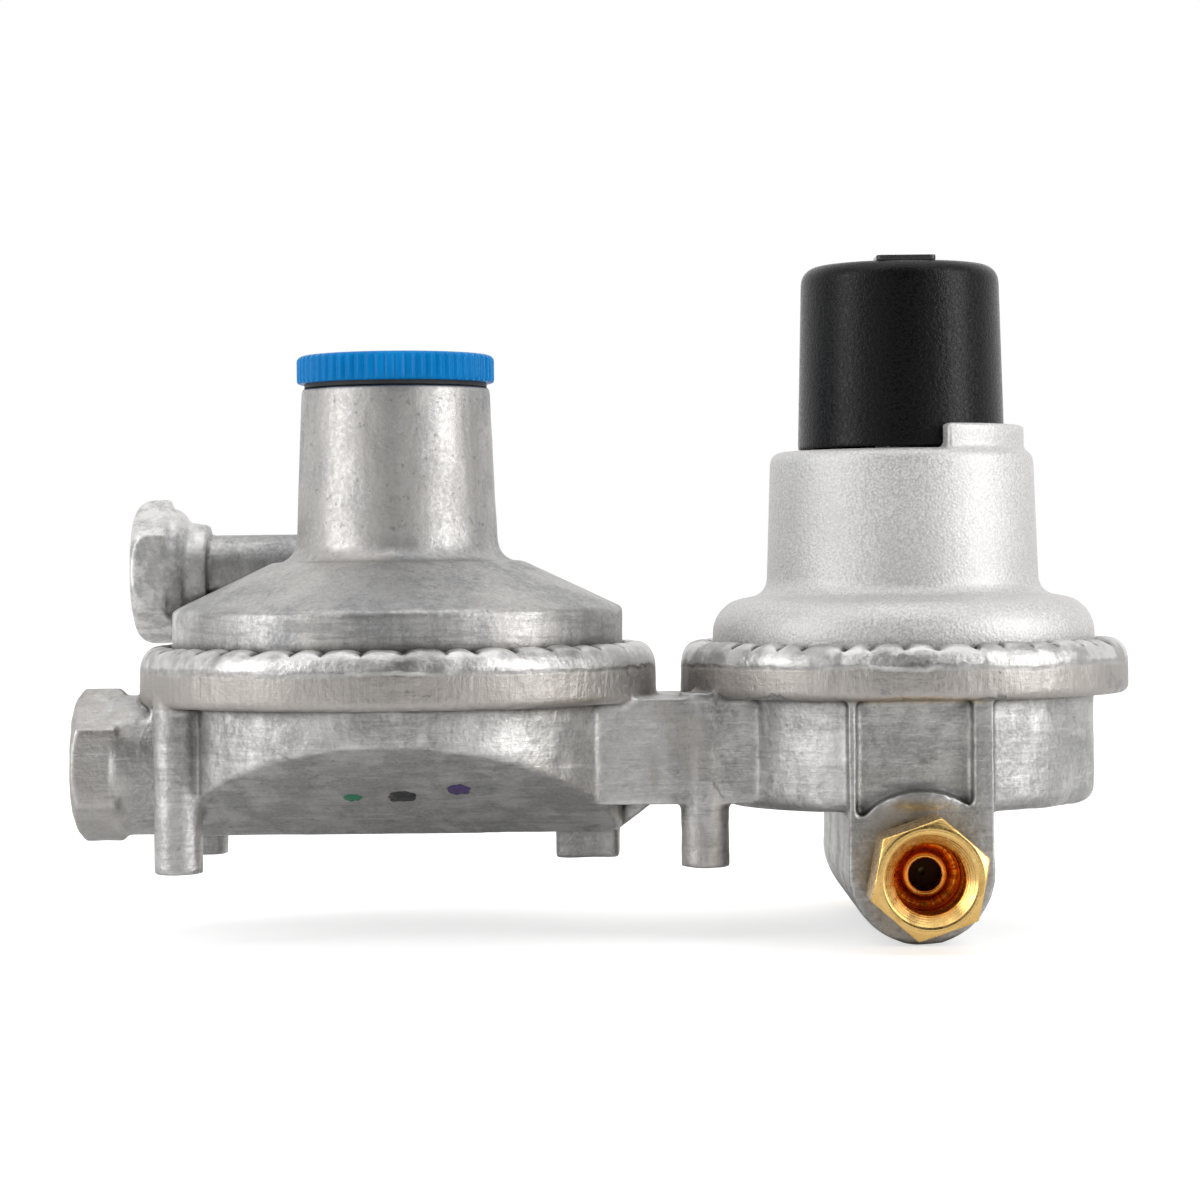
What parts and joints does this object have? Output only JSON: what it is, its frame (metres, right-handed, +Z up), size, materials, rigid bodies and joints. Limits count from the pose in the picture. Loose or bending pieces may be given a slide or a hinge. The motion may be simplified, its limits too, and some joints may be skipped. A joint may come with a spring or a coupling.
{
  "type": "propane changeover regulator",
  "caption": "Two-stage gas regulator with a changeover knob, opposed inlet fittings, a piped vent and a threaded outlet.",
  "frame": {"origin": "middle of the overall box, level with the underside of the inlet tube", "axes": "+X from the outlet towards the first stage, +Y from the front inlet to the back inlet, +Z up along both stage axes"},
  "size_m": [0.18, 0.092, 0.1138],
  "materials": {
    "cast_metal": "as-cast die casting with brushed trim marks",
    "blasted_metal": "shot-blasted die casting",
    "wire_mesh": "fine woven wire",
    "plated_steel": "zinc plated",
    "spring_steel": "drawn wire",
    "blue_plastic": "glossy moulded",
    "white_plastic": "moulded acetal",
    "black_plastic": "fine spark-eroded texture",
    "red_plastic": "moulded",
    "black_rubber": "matt",
    "diaphragm_rubber": "fabric-reinforced",
    "brass": "turned",
    "inlet_brass": "bright turned",
    "sintered_bronze": "sintered",
    "smoked_window": "smoked, glossy"
  },
  "bodies": {
    "regulator_body": {"body_casting": "cast_metal", "second_bonnet": "cast_metal", "vent_screen": "wire_mesh", "vent_screen_ring": "plated_steel", "second_diaphragm": "diaphragm_rubber", "second_main_spring": "spring_steel", "second_lever_pin": "plated_steel", "second_orifice": "brass", "first_bonnet": "blasted_metal", "first_diaphragm": "diaphragm_rubber", "first_main_spring": "spring_steel", "first_spring_seat": "plated_steel", "front_lever_pin": "plated_steel", "front_inlet_fitting": "inlet_brass", "front_filter": "sintered_bronze", "front_poppet_spring": "spring_steel", "front_seat_ring": "brass", "back_lever_pin": "plated_steel", "back_inlet_fitting": "inlet_brass", "back_filter": "sintered_bronze", "back_poppet_spring": "spring_steel", "back_seat_ring": "brass"},
    "second_diaphragm_set": {"second_plate": "plated_steel", "second_stem": "white_plastic", "relief_spring": "spring_steel", "relief_retainer": "brass"},
    "second_valve_lever": {"second_lever": "plated_steel"},
    "second_valve": {"second_valve_holder": "brass", "second_valve_disc": "black_rubber"},
    "first_diaphragm_set": {"first_upper_plate": "plated_steel", "first_lower_plate": "plated_steel", "first_stem": "plated_steel", "first_stem_nut": "brass"},
    "indicator": {"indicator_rod": "plated_steel", "indicator_flag": "red_plastic"},
    "front_valve_lever": {"front_lever": "plated_steel"},
    "back_valve_lever": {"back_lever": "plated_steel"},
    "front_valve": {"front_poppet": "brass", "front_poppet_disc": "black_rubber"},
    "back_valve": {"back_poppet": "brass", "back_poppet_disc": "black_rubber"},
    "changeover_knob": {"knob": "black_plastic", "knob_hub": "black_plastic", "hub_clip": "plated_steel", "indicator_window": "smoked_window", "changeover_cam_shaft": "plated_steel", "shaft_o_ring": "black_rubber"},
    "cap_gasket_ring": {"cap_gasket": "black_rubber"},
    "cap": {"closing_cap": "blue_plastic"},
    "adjuster_seat": {"upper_spring_seat": "plated_steel"},
    "adjuster": {"adjusting_screw": "white_plastic"}
  },
  "joints": [
    {"name": "second_diaphragm_travel", "type": "slide", "parent": "regulator_body", "child": "second_diaphragm_set", "axis": [0, 0, 1], "range_m": [0, 0.0024], "stiffness_N_per_m": 300, "deforming": ["second_diaphragm", "second_main_spring"]},
    {"name": "second_lever_swing", "type": "hinge", "parent": "regulator_body", "child": "second_valve_lever", "pos_m": [-0.01578, 0, 0.024], "axis": [0, 1, 0], "range_deg": [0, 7.3]},
    {"name": "second_valve_slide", "type": "slide", "parent": "regulator_body", "child": "second_valve", "axis": [1, 0, 0], "range_m": [0, 0.00089]},
    {"name": "first_diaphragm_travel", "type": "slide", "parent": "regulator_body", "child": "first_diaphragm_set", "axis": [0, 0, 1], "range_m": [0, 0.0016], "stiffness_N_per_m": 400, "deforming": ["first_diaphragm", "first_main_spring", "front_poppet_spring", "back_poppet_spring"]},
    {"name": "indicator_rise", "type": "slide", "parent": "regulator_body", "child": "indicator", "axis": [0, 0, 1], "range_m": [0, 0.0016]},
    {"name": "front_lever_swing", "type": "hinge", "parent": "regulator_body", "child": "front_valve_lever", "pos_m": [0.05173, -0.0142, 0.021], "axis": [1, 0, 0], "range_deg": [0, 7.3]},
    {"name": "back_lever_swing", "type": "hinge", "parent": "regulator_body", "child": "back_valve_lever", "pos_m": [0.05173, 0.0142, 0.021], "axis": [-1, 0, 0], "range_deg": [0, 7.3]},
    {"name": "front_valve_slide", "type": "slide", "parent": "regulator_body", "child": "front_valve", "axis": [0, 1, 0], "range_m": [0, 0.00115]},
    {"name": "back_valve_slide", "type": "slide", "parent": "regulator_body", "child": "back_valve", "axis": [0, -1, 0], "range_m": [0, 0.00115]},
    {"name": "knob_turn", "type": "hinge", "parent": "regulator_body", "child": "changeover_knob", "pos_m": [0.05173, 0, 0.0813], "axis": [0, 0, 1], "range_deg": [0, 180]},
    {"name": "cap_travel", "type": "slide", "parent": "regulator_body", "child": "cap_gasket_ring", "axis": [0, 0, 1], "range_m": [0, 0.003]},
    {"name": "cap_turn", "type": "hinge", "parent": "cap_gasket_ring", "child": "cap", "pos_m": [-0.03478, 0, 0.093], "axis": [0, 0, 1], "range_deg": [-1, 721]},
    {"name": "adjuster_travel", "type": "slide", "parent": "regulator_body", "child": "adjuster_seat", "axis": [0, 0, 1], "range_m": [-0.006, 0.001], "deforming": ["second_main_spring"]},
    {"name": "adjuster_turn", "type": "hinge", "parent": "adjuster_seat", "child": "adjuster", "pos_m": [-0.03478, 0, 0.086], "axis": [0, 0, 1], "range_deg": [-1441, 241]}
  ],
  "couplings": [
    {"joint": "second_lever_swing", "follows": "second_diaphragm_travel", "rad_per_m": 52.632},
    {"joint": "second_valve_slide", "follows": "second_diaphragm_travel", "ratio": 0.36842},
    {"joint": "indicator_rise", "follows": "first_diaphragm_travel", "ratio": 1},
    {"joint": "front_lever_swing", "follows": "first_diaphragm_travel", "rad_per_m": 78.74},
    {"joint": "back_lever_swing", "follows": "first_diaphragm_travel", "rad_per_m": 78.74},
    {"joint": "front_valve_slide", "follows": "first_diaphragm_travel", "ratio": 0.70866},
    {"joint": "back_valve_slide", "follows": "first_diaphragm_travel", "ratio": 0.70866},
    {"joint": "cap_turn", "follows": "cap_travel", "rad_per_m": 4188.8},
    {"joint": "adjuster_turn", "follows": "adjuster_travel", "rad_per_m": 4188.8}
  ]
}
